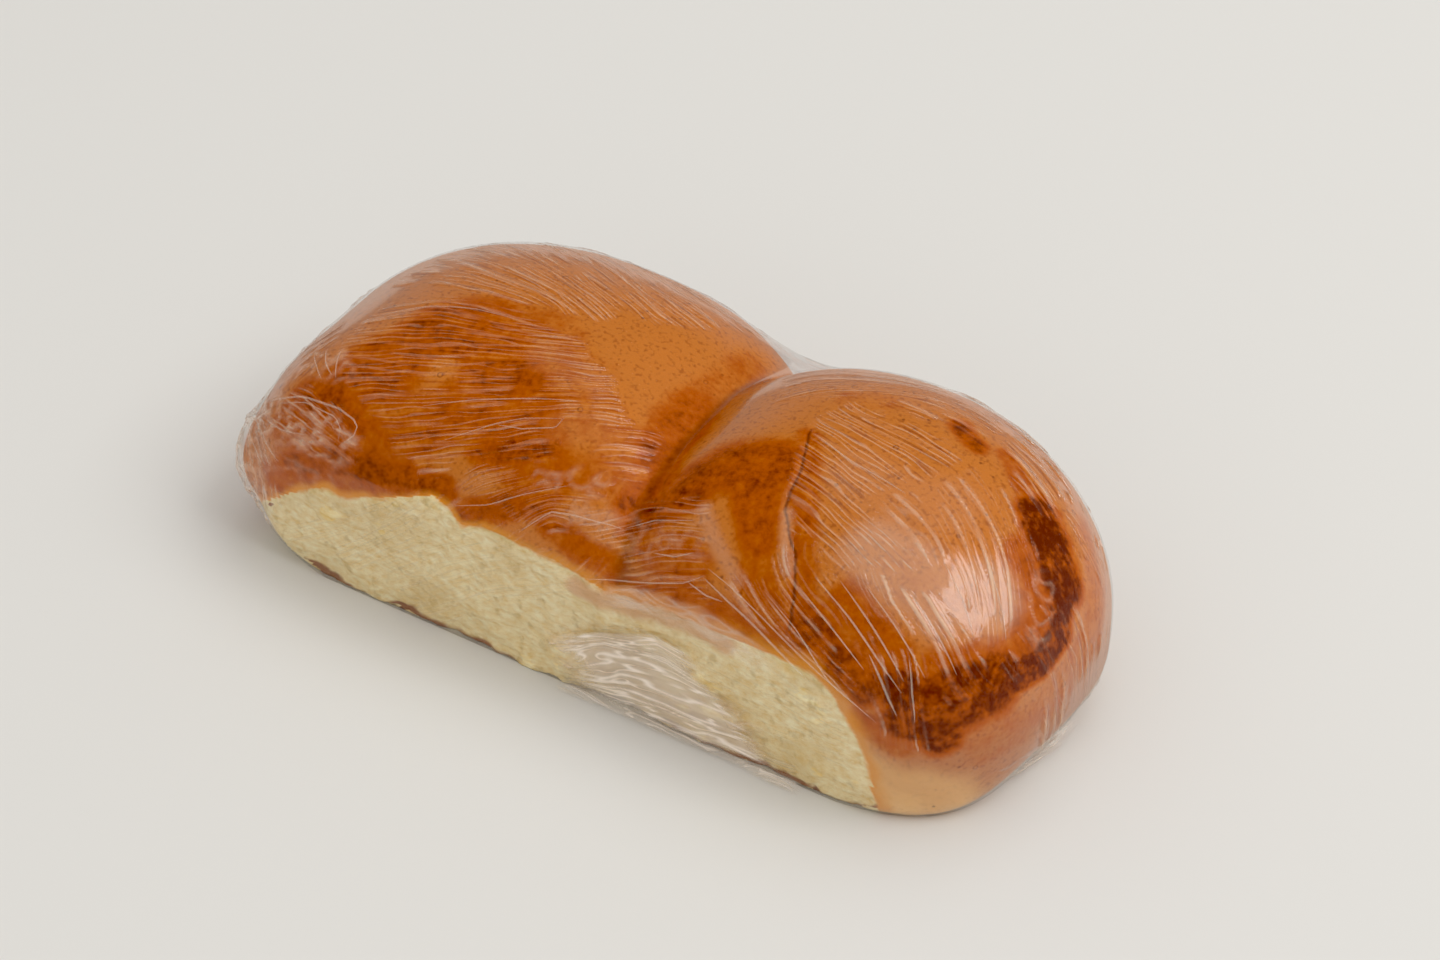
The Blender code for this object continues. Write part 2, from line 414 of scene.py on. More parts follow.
UNSEEN_PULLS = [
    # the same for the sides that the photo hides, with guide lines in mm
    ("back of the large bun", 0.9, 0.5, [
        [(-72, 22, 34), (-40, 40, 36), (-5, 36, 38)], [(-74, 28, 22), (-38, 46, 24), (0, 40, 28)],
        [(-70, 32, 10), (-36, 46, 10), (4, 36, 12)]]),
    ("back of the small bun", 0.9, 0.5, [
        [(8, 34, 40), (45, 34, 38), (74, 16, 36)], [(8, 34, 26), (48, 38, 24), (80, 14, 22)],
        [(8, 30, 12), (48, 36, 10), (80, 12, 8)]]),
    ("under the loaf", 0.6, 1.0, [
        [(-70, -30, 0), (0, -30, 0), (70, -30, 0)], [(-75, -5, 0), (0, -8, 0), (78, -5, 0)],
        [(-66, 24, 0), (0, 22, 0), (72, 22, 0)]]),
    ("far end of the small bun", 0.7, 0.8, [
        [(84, -24, 34), (90, -18, 18), (84, -16, 4)], [(78, 8, 40), (88, 6, 20), (84, 6, 4)]]),
    ("near end of the large bun", 0.7, 0.9, [
        [(-84, -34, 26), (-88, -28, 17), (-84, -30, 6)], [(-82, -6, 34), (-88, -8, 18), (-82, -8, 4)],
        [(-74, 16, 34), (-80, 16, 18), (-74, 16, 4)]]),
]
print(len(PULLS), "pulls that the photo shows and", len(UNSEEN_PULLS), "that it hides")

# %% One pull
PULL_REACH = 4.0
GUIDE_POINTS = 7
GUIDE_SLACK = 0.5  # how loosely the measures hold to the guides
GUIDE_STEP, SPOTS_ALONG = 0.2, 31


def evenly_along(line, count):
    """This many points evenly along a line, and how far along it each one lies."""
    line = np.asarray(line, float)
    runs = np.linalg.norm(np.diff(line, axis=0), axis=1)
    length = np.concatenate([[0], np.cumsum(runs)])
    at = np.linspace(0, length[-1], count)
    return np.stack([np.interp(at, length, line[:, k]) for k in range(3)], 1), at


class Pull:
    """One stretch of film that was pulled one way."""

    def __init__(self, fine, bold, guides):
        self.fine, self.bold = fine, bold
        lines = [evenly_along(guide, GUIDE_POINTS) for guide in guides]
        self.rows = np.array([line for line, _ in lines])
        along = np.array([at - at[-1] / 2 for _, at in lines])
        gaps = np.linalg.norm(np.diff(self.rows, axis=0), axis=2).mean(1)
        across = np.repeat(np.concatenate([[0], np.cumsum(gaps)])[:, None], GUIDE_POINTS, axis=1)
        self.samples = self.rows.reshape(-1, 3)
        self.spread = self.fit(np.column_stack([along.ravel(), across.ravel()]))

    def between(self, place, share):
        """A point between the guides: place counts guides, share runs along them."""
        first = int(min(place, len(self.rows) - 2))
        row = self.rows[first] * (first + 1 - place) + self.rows[first + 1] * (place - first)
        at = share * (GUIDE_POINTS - 1)
        step = np.minimum(at.astype(int), GUIDE_POINTS - 2)
        return row[step] * (step + 1 - at)[:, None] + row[step + 1] * (at - step)[:, None]

    def fit(self, values):
        """Weights that carry the values at the samples smoothly to all points near them."""
        count = len(self.samples)
        gap = np.linalg.norm(self.samples[:, None] - self.samples[None], axis=2)
        plain = np.column_stack([np.ones(count), self.samples])
        system = np.block([[gap + GUIDE_SLACK * np.eye(count), plain], [plain.T, 1e-6 * np.eye(4)]])
        return np.linalg.lstsq(system, np.vstack([values, np.zeros((4, 2))]), rcond=None)[0]

    def measures(self, points):
        """How far along and across the pull each point lies, in mm."""
        gap = np.stack([np.linalg.norm(points - sample, axis=1) for sample in self.samples], 1)
        return np.hstack([gap, np.ones((len(points), 1)), points]) @ self.spread

    def nearness(self, points, ragged):
        """One between the guides, falling to zero a short and ragged way outside them."""
        places = np.arange(0, len(self.rows) - 0.95, GUIDE_STEP)
        spots = np.concatenate([self.between(place, np.linspace(0, 1, SPOTS_ALONG)) for place in places])
        tree = KDTree(len(spots))
        for index, spot in enumerate(spots):
            tree.insert(spot, index)
        tree.balance()
        middle = spots.mean(0)
        radius = np.linalg.norm(spots - middle, axis=1).max() + 2 * PULL_REACH
        nearest = np.full(len(points), 1e3)
        for index in np.nonzero(np.linalg.norm(points - middle, axis=1) < radius)[0]:
            nearest[index] = tree.find(points[index])[2] + ragged[index]
        return 1 - smooth_step(nearest, 0.2 * PULL_REACH, 1.6 * PULL_REACH)


pulls = [Pull(fine, bold, [seen_at(guide) for guide in guides]) for _, fine, bold, guides in PULLS]
pulls += [Pull(fine, bold, guides) for _, fine, bold, guides in UNSEEN_PULLS]
print("guides", round(min(np.ptp(pull.samples, axis=0).max() for pull in pulls)), "mm long at least")

# %% Pulls in the film
RAGGED_BUMP, RAGGED_REACH = 6.0, 2.8
PULL_SPACING = 40.0  # keeps the noise of one pull apart from the next


def pulled(points):
    """Along, across and number of the last pull that reaches each point; fine and bold.

    Later pulls lie over earlier ones, and the lines fade out where one gives way to the next.
    """
    flow = np.zeros((len(points), 3))
    fine, bold = np.zeros((2, len(points)))
    ragged = RAGGED_REACH * rough(points, RAGGED_BUMP, 13)
    for number, pull in enumerate(pulls):
        strength = pull.nearness(points, ragged)
        wins = strength > 0.5
        flow[wins, :2] = pull.measures(points[wins])
        flow[wins, 2] = number * PULL_SPACING
        rising, leaving = smooth_step(strength, 0.68, 0.95), 1 - smooth_step(strength, 0.05, 0.32)
        fine = np.where(wins, pull.fine * rising, fine * leaving)
        bold = np.where(wins, pull.bold * rising, bold * leaving)
    return flow, fine, bold


print("at the heart of the glare:", [part.round(2) for part in pulled(seen_at([(985, 600)]))])

# %% [markdown]
# Where the film touches the egg-washed crust it wets it, and the crust shows deep and saturated. The same
# map also darkens the valley between the buns, as painted shade.
# Where air is left between them a pinkish veil lies over a paler crust; along the outline and over the
# glare the veil map paints the film's reflection. The maps say roughly where, and the materials make their
# edges ragged.

# %% Wet and veiled places, with painted shade and painted reflection
WET_AND_SHADE_PATCHES = [
    # places in the photo, reach in mm, strength
    ([(350, 390), (400, 360), (440, 330), (480, 320), (500, 370), (520, 410)], 10.0, 1.15),
    ([(303, 398), (332, 402), (352, 420)], 5.5, 1.2),
    ([(300, 430), (350, 420), (420, 430), (480, 400), (530, 450), (545, 480)], 9.0, 1.0),
    ([(505, 310), (550, 325)], 4.0, 0.8),
    ([(430, 345), (465, 350)], 3.5, 1.25),
    ([(485, 450), (535, 450)], 5.0, 1.3),
    ([(290, 465), (350, 465), (400, 472), (445, 490)], 4.0, 1.3),
    ([(272, 476), (320, 476), (360, 486), (400, 488)], 4.0, 1.05),
    ([(470, 512), (500, 510), (540, 500)], 3.5, 1.15),
    ([(550, 525), (580, 548), (615, 565)], 3.5, 1.05),
    ([(600, 480), (560, 470)], 6.0, 0.75),
    ([(545, 330), (580, 390), (610, 440)], 9.0, 0.6),
    # these two run down the valley between the buns: their darkening is painted shade
    ([(750, 372), (715, 398), (690, 425)], 6.0, 0.7),
    ([(690, 415), (665, 450), (655, 480)], 7.0, 1.2),
    ([(645, 510), (670, 500), (720, 470), (770, 465)], 7.5, 1.3),
    ([(755, 500), (760, 540)], 5.5, 1.25),
    ([(650, 540), (690, 560)], 6.0, 0.95),
    ([(620, 588), (690, 598), (730, 615), (770, 645), (800, 668)], 3.0, 1.1),
    ([(757, 570), (770, 620), (800, 650)], 5.0, 0.95),
    ([(808, 440), (806, 500), (803, 560), (806, 620)], 3.6, 1.0),
    ([(812, 625), (830, 655), (870, 690)], 5.0, 1.35),
    ([(850, 600), (890, 650), (905, 690)], 5.5, 1.05),
    ([(865, 720), (900, 745)], 4.0, 1.0),
    ([(962, 428), (976, 445)], 3.4, 1.35),
    ([(1004, 455), (1020, 480), (1032, 500)], 2.6, 1.05),
    ([(1042, 522), (1055, 552), (1062, 585)], 6.4, 1.8),
    ([(1063, 595), (1058, 632), (1038, 662), (1000, 685)], 4.2, 1.8),
    ([(990, 684), (950, 700), (915, 712)], 8.5, 1.62),
    ([(900, 690), (922, 722), (940, 734)], 5.5, 1.65),
    ([(1088, 540), (1090, 640), (1050, 700), (985, 742)], 6.0, 0.6),
    ([(1000, 655), (960, 668), (915, 680)], 5.5, 1.1),
    ([(1025, 560), (1036, 600), (1020, 645)], 5.5, 1.15),
    ([(850, 400), (890, 405)], 4.0, 0.5),
    ([(920, 575), (960, 610), (990, 610)], 8.0, 0.4),
]
# milky veil and painted reflection: along the outline and over the glare these patches stand for light that
# the film mirrors
VEIL_AND_SHEEN_PATCHES = [
    ([(788, 515), (786, 540), (789, 570)], 1.4, 0.16),
    ([(254, 420), (283, 375), (325, 330), (390, 292)], 5.0, 0.06),
    ([(250, 430), (256, 490)], 4.0, 0.08),
    ([(390, 288), (460, 262), (540, 248), (620, 266), (700, 302), (765, 345)], 4.5, 0.06),
    ([(545, 360), (595, 385)], 4.0, 0.03),
    ([(560, 430), (600, 430)], 4.0, 0.02),
    ([(580, 515), (615, 525)], 2.2, 0.07),
    ([(706, 512), (718, 545), (740, 580)], 2.0, 0.12),
    ([(860, 480), (900, 505), (950, 505)], 7.0, 0.05),
    ([(880, 560), (940, 600), (985, 600)], 8.0, 0.2),
    ([(880, 380), (960, 396), (1022, 430), (1073, 488), (1100, 560), (1106, 620), (1092, 680)], 4.0, 0.12),
    ([(1085, 680), (1050, 725), (1000, 765), (940, 790), (870, 800)], 4.0, 0.02),
]
PALE_PATCHES = [
    ([(866, 770), (880, 792), (905, 803)], 4.5, 0.6),
    ([(868, 775), (888, 796), (935, 803)], 9.0, 0.5),
]
TAN_PATCHES = [
    ([(578, 586), (600, 598), (645, 610), (692, 628), (722, 645)], 2.6, 0.75),
]
CRUMPLED_PATCHES = [
    ([(250, 428), (254, 465), (262, 500)], 6.0, 1.0),
    ([(262, 412), (300, 425), (340, 440)], 5.0, 1.0),
    ([(318, 362), (345, 368)], 4.0, 0.6),
    ([(575, 512), (615, 530), (660, 545), (700, 545)], 4.0, 0.3),
    ([(574, 650), (620, 668), (680, 694), (740, 730)], 6.0, 0.9),
    ([(1040, 590), (1036, 632)], 3.5, 0.4),
    ([(545, 474), (600, 490)], 3.0, 0.5),
    ([(262, 462), (300, 470), (330, 468)], 4.0, 0.35),
]
# the wet patches also hold painted shade in the valley, and the veiled ones painted reflection
print(len(WET_AND_SHADE_PATCHES), "wet patches,", len(VEIL_AND_SHEEN_PATCHES), "veiled,", len(CRUMPLED_PATCHES), "crumpled")

# %% [markdown]
# The bread starts as a sphere whose poles lie at the ends of the loaf. Its meridians crowd towards
# the torn front, where the crumb needs the finest faces. Then every point slides along its ray
# from the heart of the loaf to the skin.

# %% Sphere and torn face
FRONT_SHARE = 0.40
FRONT_HALF_ANGLE = math.radians(27)
STRETCH = np.array([1.7, 1.0, 0.8])


def crowded(angles):
    """Angles round the loaf, 0 at the front, with FRONT_SHARE of them on the torn face."""
    share = np.abs(angles) / math.pi
    inside = share / FRONT_SHARE * FRONT_HALF_ANGLE
    outside = FRONT_HALF_ANGLE + (share - FRONT_SHARE) / (1 - FRONT_SHARE) * (math.pi - FRONT_HALF_ANGLE)
    return np.sign(angles) * np.where(share < FRONT_SHARE, inside, outside)


def sphere_directions(name, rings, meridians, crowd):
    """A new sphere with its poles along X, and the direction of each of its points."""
    bpy.ops.object.select_all(action="DESELECT")
    bpy.ops.mesh.primitive_uv_sphere_add(
        segments=meridians, ring_count=rings, radius=1, rotation=(0, math.pi / 2, 0))
    made = bpy.context.object
    made.name = made.data.name = name
    bpy.ops.object.transform_apply(location=True, rotation=True, scale=True)
    co = np.empty(len(made.data.vertices) * 3)
    made.data.vertices.foreach_get("co", co)
    co = co.reshape(-1, 3)
    around = crowd(np.arctan2(co[:, 2], -co[:, 1]))
    radius = np.hypot(co[:, 1], co[:, 2])
    co = np.stack([co[:, 0], -radius * np.cos(around), radius * np.sin(around)], 1) * STRETCH
    return made, co / np.linalg.norm(co, axis=1)[:, None]


def torn_front(rays):
    """How far forward the torn face comes along each ray: the plane and its coarse crags."""
    forward = np.minimum(rays[:, 1], -1e-3)
    hits = HEART + rays * ((TORN_Y - HEART[1]) / forward)[:, None]
    front = np.full(len(rays), TORN_Y)
    for i in np.nonzero(rays[:, 1] < -0.05)[0]:
        x, _, z = hits[i]
        for step, (depth, width, height) in enumerate(CRUMB_BUMPS):
            front[i] += depth * noise.noise(Vector((x / width, z / height, 3.1 * step)))
    return front


def set_points(made, points):
    made.data.vertices.foreach_set("co", (points * MM).ravel())
    made.data.update()


def add_attribute(made, name, values):
    kind, field = ("FLOAT", "value") if values.ndim == 1 else ("FLOAT_VECTOR", "vector")
    made.data.attributes.new(name, kind, "POINT").data.foreach_set(field, values.ravel())


crowding = round(FRONT_HALF_ANGLE / FRONT_SHARE / math.pi, 2)
print("meridians on the torn face lie", crowding, "times as far apart as even ones")

# %% Bread
BREAD_RINGS, BREAD_MERIDIANS = 330, 290
BREAD_VALLEY = 2.2
GATHER_INSET = 2.0
BREAD_FLOOR = 0.15
CRUMB_INSET = 0.2

bread, rays = sphere_directions("bread", BREAD_RINGS, BREAD_MERIDIANS, crowded)
front = torn_front(rays) + CRUMB_INSET


def bread_level(points):
    level = joined(bun_level(points, LARGE_BUN), bun_level(points, SMALL_BUN), BREAD_VALLEY)
    level = joined(level, gather_level(points, GATHER_INSET), GATHER["blend"])
    level = np.maximum(level, front - points[:, 1])
    return np.maximum(level, BREAD_FLOOR - points[:, 2])


points = halve_to(bread_level, HEART, rays, LONGEST_RAY)
is_torn = (points[:, 1] - front < 0.02) & (rays[:, 1] < -0.05)
print("bread:", len(points), "points,", is_torn.sum(), "on the torn face")

# %% [markdown]
# Four distances steer the colours: to the edge of the tear, to the bottom crust, to the valley between the
# buns and to the sharp fold in the crust of the small one. The last two also lay painted shade into the
# valley and the fold.

# %% Edge, valley and fold
TORN_EDGE = [
    (250, 522), (257, 502), (300, 489), (326, 487), (343, 497), (390, 497), (434, 495), (448, 506),
    (462, 525), (484, 527), (518, 543), (551, 558), (575, 572), (604, 590), (647, 603), (693, 620),
    (725, 636), (753, 647), (789, 660), (814, 674), (835, 697), (853, 727), (863, 751), (873, 785),
    (878, 806)]
CREASE = seen_at([
    (812, 432), (806, 455), (797, 485), (785, 512), (790, 535), (796, 556), (796, 580), (791, 630)])
BARE_SOLE = (3.0, TORN_Y, 3.0)  # round here no bottom crust shows
FAR_OFF = 9.0  # too far to be coloured


def sole_height(x):
    """How far down the torn face reaches at each x."""
    column = np.stack([x, np.full(len(x), TORN_Y + 0.1), np.full(len(x), WAIST_Z)], 1)
    return halve_to(plain_level, column, np.tile([0.0, 0.0, -1.0], (len(x), 1)), 60.0, 14)[:, 2]


on_torn = np.nonzero(is_torn)[0]
x, z = points[on_torn, 0], points[on_torn, 2]
across, down = in_photo(points)
is_below = down > np.interp(across, *np.transpose(TORN_EDGE), right=PHOTO_HEIGHT)
is_below &= points[:, 1] < TORN_Y + 8
edge = distance_to(points, seen_at(TORN_EDGE)) * np.where(is_below, -1, 1)
# over the left of the crust each mm counts for more, so that the amber rim is narrower there
edge = np.where(edge > 0, edge * (2.2 - 1.2 * smooth_step(points[:, 0], -12.0, 25.0)), edge)
sole = np.full(len(points), FAR_OFF)
bare = np.linalg.norm(points[on_torn] - BARE_SOLE, axis=1)
sole[on_torn] = np.minimum(z - sole_height(x), z) + 6 * (1 - smooth_step(bare, 10.0, 18.0))
valley = np.abs(bun_level(points, LARGE_BUN) - bun_level(points, SMALL_BUN))
fold_across = points[:, 0] - np.interp(points[:, 1], CREASE[::-1, 1], CREASE[::-1, 0])
fold_across = 0.85 * fold_across + 0.7 * rough(points, 5.0, 12)
fold_end = np.maximum(np.maximum(points[:, 1] - CREASE[0, 1], CREASE[-1, 1] - points[:, 1]), 0)
fold_end += np.where(points[:, 2] < WAIST_Z, FAR_OFF, 0)
fold = np.abs(fold_across) + fold_end
print("torn face: crumb down to", round(edge.min(), 1), "mm below the top crust")

# %% [markdown]
# Relief that a hand would feel: the crumb's shreds and pores, low waves in the crust, and the
# sharp fold across the small bun.

# %% Relief of the bread
FOLD_DEPTH, FOLD_WIDTH = 0.9, 1.0
LIP_HEIGHT, LIP_WIDTH = 0.6, 1.8
# each wave and shred is a height in mm times noise with bumps of a size in mm
relief = 0.35 * rough(points, 22.0, 1) + 0.12 * rough(points, 7.0, 2)
relief -= FOLD_DEPTH * np.exp(-(fold / FOLD_WIDTH) ** 2)
relief += np.where(fold_across < 0, LIP_HEIGHT * np.exp(-(fold / LIP_WIDTH) ** 2), 0)
shreds = 0.8 * rough(points[on_torn], (4.6, 2.0, 2.3), 3) + 0.3 * rough(points[on_torn], (1.8, 1.0, 1.0), 4)
pores = rough(points[on_torn], (2.2, 2.0, 1.6), 5)
shreds -= 0.7 * smooth_step(pores, 0.45, 0.75)
relief[on_torn] = shreds * smooth_step(-edge[on_torn], 0.0, 1.5)
relief = np.where(points[:, 2] < BREAD_FLOOR + 0.05, 0, relief)
set_points(bread, points + rays * relief[:, None])
bread.data.shade_smooth()
flow, fine, bold = pulled(points)
for name, values in (
        ("edge_mm", edge), ("sole_mm", sole), ("valley_mm", valley), ("flow", flow), ("fine", fine),
        ("fold_mm", fold_across), ("fold_end", fold_end), ("tan", patches_at(points, TAN_PATCHES)),
        ("wet_and_shade", patches_at(points, WET_AND_SHADE_PATCHES)), ("pale", patches_at(points, PALE_PATCHES))):
    add_attribute(bread, name, values)
print("relief from", round(relief.min(), 2), "to", round(relief.max(), 2), "mm")

# %% [markdown]
# Milk bread has a thin crust that browns from cream at the sole to chestnut at the crown. The
# colour is mixed in layers, each with a mask from the distances above that noise makes ragged.

# %% Masks for the bread
bread_material, tree = new_material("egg-washed milk bread")
place = node(tree, "TexCoord").outputs["Object"]
spot = node(tree, "SeparateXYZ", {0: place})
flow_mm = node(tree, "Attribute", attribute_name="flow").outputs["Vector"]
edge_mm, sole_mm, valley_mm, fold_mm, fold_end, thin_crust, wet_and_shade, pale, fine_pull = [
    node(tree, "Attribute", attribute_name=name).outputs["Fac"]
    for name in ("edge_mm", "sole_mm", "valley_mm", "fold_mm", "fold_end", "tan", "wet_and_shade", "pale", "fine")]
fold_mm = node(tree, "Math", {0: fold_mm}, operation="ABSOLUTE")
fold_mm = node(tree, "Math", {0: fold_mm, 1: fold_end}, operation="ADD")
# clouds, blotches and speckles of baking, by their size in mm
speckle, blotch, cloud = [
    node(tree, "TexNoise", {"Vector": place, "Scale": 1 / (size * MM), "Detail": 3.0})
    for size in (0.9, 4.0, 15.0)]
# furrows under the pulled film, 14 mm long and 1.1 mm apart
combed = node(tree, "VectorMath", {0: flow_mm, 1: (1 / 14.0, 1 / 1.1, 1.0)}, operation="MULTIPLY")
streak = node(tree, "TexNoise", {"Vector": combed, "Scale": 1.0, "Detail": 2.0})
print(len(bread.data.attributes), "attributes on the bread's mesh")

# %% Crust colours
# egg-washed crust, baked: satin, uneven brown, freckled
tanning = node(tree, "Math", {0: cloud, 1: 0.014, 2: spot.outputs["Z"]}, operation="MULTIPLY_ADD")
leftward = node(tree, "MapRange", {
    "Value": spot.outputs["X"], "From Min": -0.060, "From Max": -0.010, "To Min": 0.024, "To Max": 0.0})
tanning = node(tree, "Math", {0: tanning, 1: leftward}, operation="ADD")
side, crown = [
    node(tree, "MapRange", {"Value": tanning, "From Min": low, "From Max": high}, **SOFTLY)
    for low, high in ((0.007, 0.017), (0.016, 0.040))]
spots = node(tree, "MapRange", {
    "Value": speckle, "From Min": 0.50, "From Max": 0.72, "To Max": 0.5}, **SOFTLY)
crust = linear("#dfae72")
for mask, colour in ((side, "#b9723c"), (crown, "#cf7c30"), (spots, "#8a3c0c"), (pale, "#f9ca84")):
    crust = node(tree, "Mix", {0: mask, 6: crust, 7: linear(colour)}, data_type="RGBA").outputs[2]
print("crust mixed from", len(tree.nodes), "nodes")

# %% Blisters and pinholes
# blisters of the egg wash some 6 mm apart: about 1 mm wide on the real bun, and drawn 1.5 mm wide
# so that they show; and dark pinholes under 1 mm wide
blisters = node(tree, "TexVoronoi", {"Vector": place, "Scale": 1 / (6.0 * MM)})
chosen = node(tree, "SeparateXYZ", {0: blisters.outputs["Color"]}).outputs["X"]
chosen = node(tree, "Math", {0: chosen, 1: 0.55}, operation="GREATER_THAN")
dome = node(tree, "MapRange", {
    "Value": blisters, "From Min": 0.04, "From Max": 0.13, "To Min": 1.0, "To Max": 0.0}, **SOFTLY)
dome = node(tree, "Math", {0: dome, 1: chosen}, operation="MULTIPLY")
rim = node(tree, "Math", {0: dome, 1: 0.35, 2: 0.25}, operation="COMPARE")
rim = node(tree, "Math", {0: rim, 1: 0.5}, operation="MULTIPLY")
pinholes = node(tree, "TexVoronoi", {"Vector": place, "Scale": 1 / (4.5 * MM)})
pinhole = node(tree, "MapRange", {
    "Value": pinholes, "From Min": 0.04, "From Max": 0.10, "To Min": 0.6, "To Max": 0.0}, **SOFTLY)
for mask, colour in ((rim, "#7a3410"), (pinhole, "#6a2606")):
    crust = node(tree, "Mix", {0: mask, 6: crust, 7: linear(colour)}, data_type="RGBA").outputs[2]
print("crust with blisters from", len(tree.nodes), "nodes")

# %% Crust under wet film, and painted shade in the valley and the fold
# where film wets the crust it turns from amber to mahogany, with an edge that every noise frays; along the
# valley between the buns the same darkening is painted shade
furrow = node(tree, "MapRange", {
    "Value": streak, "From Min": 0.55, "From Max": 0.66, "To Max": 0.5}, **SOFTLY)
furrow = node(tree, "Math", {0: furrow, 1: fine_pull}, operation="MULTIPLY")
streaks = node(tree, "Math", {0: streak, 1: 0.5}, operation="SUBTRACT")
streaks = node(tree, "Math", {0: streaks, 1: fine_pull}, operation="MULTIPLY")
mottle = node(tree, "TexNoise", {
    "Vector": place, "Scale": 1 / (1.6 * MM), "Detail": 4.0, "Roughness": 0.6})
mottle = node(tree, "Math", {0: mottle, 1: 0.5}, operation="SUBTRACT")
mottle = node(tree, "Math", {0: mottle, 1: wet_and_shade}, operation="MULTIPLY")
frayed = wet_and_shade
for noise_mask, share in ((blotch, 1.1), (speckle, 0.4), (streaks, 2.2), (mottle, 1.15)):
    frayed = node(tree, "Math", {0: noise_mask, 1: share, 2: frayed}, operation="MULTIPLY_ADD")
damp_and_shade, soaked_and_shade = [
    node(tree, "MapRange", {"Value": frayed, "From Min": low, "From Max": high}, **SOFTLY)
    for low, high in ((0.9, 1.95), (1.75, 2.75))]
# painted shade: the crust darkens into the valley between the buns and into the fold of the small bun
valley_shade, fold_shade = [
    node(tree, "MapRange", {
        "Value": distance, "From Max": reach, "To Min": share, "To Max": 0.0}, **SOFTLY)
    for distance, reach, share in ((valley_mm, 2.2, 0.38), (fold_mm, 0.65, 0.75))]
for mask, colour in (
        (furrow, "#8a3c0c"), (damp_and_shade, "#b4560c"), (soaked_and_shade, "#652103"),
        (valley_shade, "#5a2408"), (fold_shade, "#662a0c")):
    crust = node(tree, "Mix", {0: mask, 6: crust, 7: linear(colour)}, data_type="RGBA").outputs[2]
print("crust under wet film from", len(tree.nodes), "nodes")

# %% Crumb and torn edge
# crumb: dull, cream, finely fibrous, with pits; painted light on its raised fibres and painted shade
# between them and in its pits; the crust fades through amber where it tore
fibre_scale = [1 / (size * MM) for size in (2.4, 2.0, 1.3)]
combed = node(tree, "Mapping", {0: place, "Rotation": (0.0, math.radians(-20), 0.0), "Scale": fibre_scale})
fibre = node(tree, "TexNoise", {"Vector": combed, "Scale": 1.0, "Detail": 5.0, "Roughness": 0.62})
# painted light and shade: the crumb is paler where the fibres' bump is high and darker where it is low
fibre_light_and_shade = node(tree, "MapRange", {"Value": fibre, "From Min": 0.32, "From Max": 0.68})
pit = node(tree, "TexNoise", {"Vector": place, "Scale": 1 / (2.6 * MM), "Detail": 3.0})
# painted shade: the first mask darkens spots where pits lie; the second is broad tone
pit_shade, broad = [
    node(tree, "MapRange", {
        "Value": value, "From Min": low, "From Max": high, "To Max": share}, **SOFTLY)
    for value, low, high, share in ((pit, 0.54, 0.72, 0.5), (cloud, 0.45, 0.65, 0.45))]
sole_frayed = node(tree, "Math", {0: cloud, 1: -9.0, 2: sole_mm}, operation="MULTIPLY_ADD")
edge_frayed = node(tree, "Math", {0: blotch, 1: 2.4, 2: edge_mm}, operation="MULTIPLY_ADD")
sole_crust, amber, is_crumb = [
    node(tree, "MapRange", {
        "Value": value, "From Min": low, "From Max": high, "To Min": share, "To Max": 0.0}, **SOFTLY)
    for value, low, high, share in (
        (sole_frayed, -4.2, -3.2, 0.9), (edge_frayed, 1.6, 5.4, 0.9), (edge_frayed, 0.2, 1.5, 1.0))]
crumb = linear("#ebcb88")
for mask, colour in (
        (fibre_light_and_shade, "#fff3ca"), (pit_shade, "#c2a564"), (broad, "#dcbc78"),
        (thin_crust, "#d8a070"), (sole_crust, "#8d4a22")):
    crumb = node(tree, "Mix", {0: mask, 6: crumb, 7: linear(colour)}, data_type="RGBA").outputs[2]
crust = node(tree, "Mix", {0: amber, 6: crust, 7: linear("#e39632")}, data_type="RGBA").outputs[2]
colour = node(tree, "Mix", {0: is_crumb, 6: crust, 7: crumb}, data_type="RGBA").outputs[2]
print("crust and crumb from", len(tree.nodes), "nodes")

# %% Surface of the bread
bump = node(tree, "Bump", {"Height": fibre, "Strength": is_crumb, "Distance": 0.8 * MM})
for bumps, strength in ((dome, 0.6), (speckle, 0.5)):
    bump = node(tree, "Bump", {
        "Height": bumps, "Strength": strength, "Distance": 0.3 * MM, "Normal": bump})
roughness = node(tree, "MapRange", {"Value": is_crumb, "To Min": 0.45, "To Max": 0.9})
surface = node(tree, "BsdfPrincipled", {
    "Base Color": colour, "Roughness": roughness, "Specular IOR Level": 0.25, "Normal": bump})
node(tree, "OutputMaterial", {"Surface": surface})
bread.data.materials.append(bread_material)
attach(bread, "root")
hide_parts("wrapped_buns")
print(len(tree.nodes), "nodes in the bread's material")

# %% [markdown]
# Cling film is a sheet of polyethylene a hundredth of a millimetre thick. Here it is a shell that
# bridges the valley, stands a third of a millimetre off the crust and is gathered at the left
# end. Its bold folds and creases are waves in its mesh; lines finer than its faces are left to
# the material.

# %% Form of the film
FILM_RINGS, FILM_MERIDIANS = 340, 290
FILM_STAND_OFF = 0.35
VALLEY_ROUNDING, WEB_ROUNDING = 4.0, 24.0
WEB_FROM_Y, WEB_TO_Y = 5.0, 38.0
FILM_FLOOR = 0.05
FILM_FRONT = TORN_Y - 0.6
UNDER_HALF_ANGLE = math.radians(62)
UNDER_SHARE = 0.14


def fewer_below(angles):
    """Angles round the loaf, 0 at the front, with UNDER_SHARE of them under it."""
    from_below = (angles + math.pi / 2 + math.pi) % (2 * math.pi) - math.pi
    share = np.abs(from_below) / math.pi
    inside = share / UNDER_SHARE * UNDER_HALF_ANGLE
    outside = UNDER_HALF_ANGLE + (share - UNDER_SHARE) / (1 - UNDER_SHARE) * (math.pi - UNDER_HALF_ANGLE)
    return np.sign(from_below) * np.where(share < UNDER_SHARE, inside, outside) - math.pi / 2


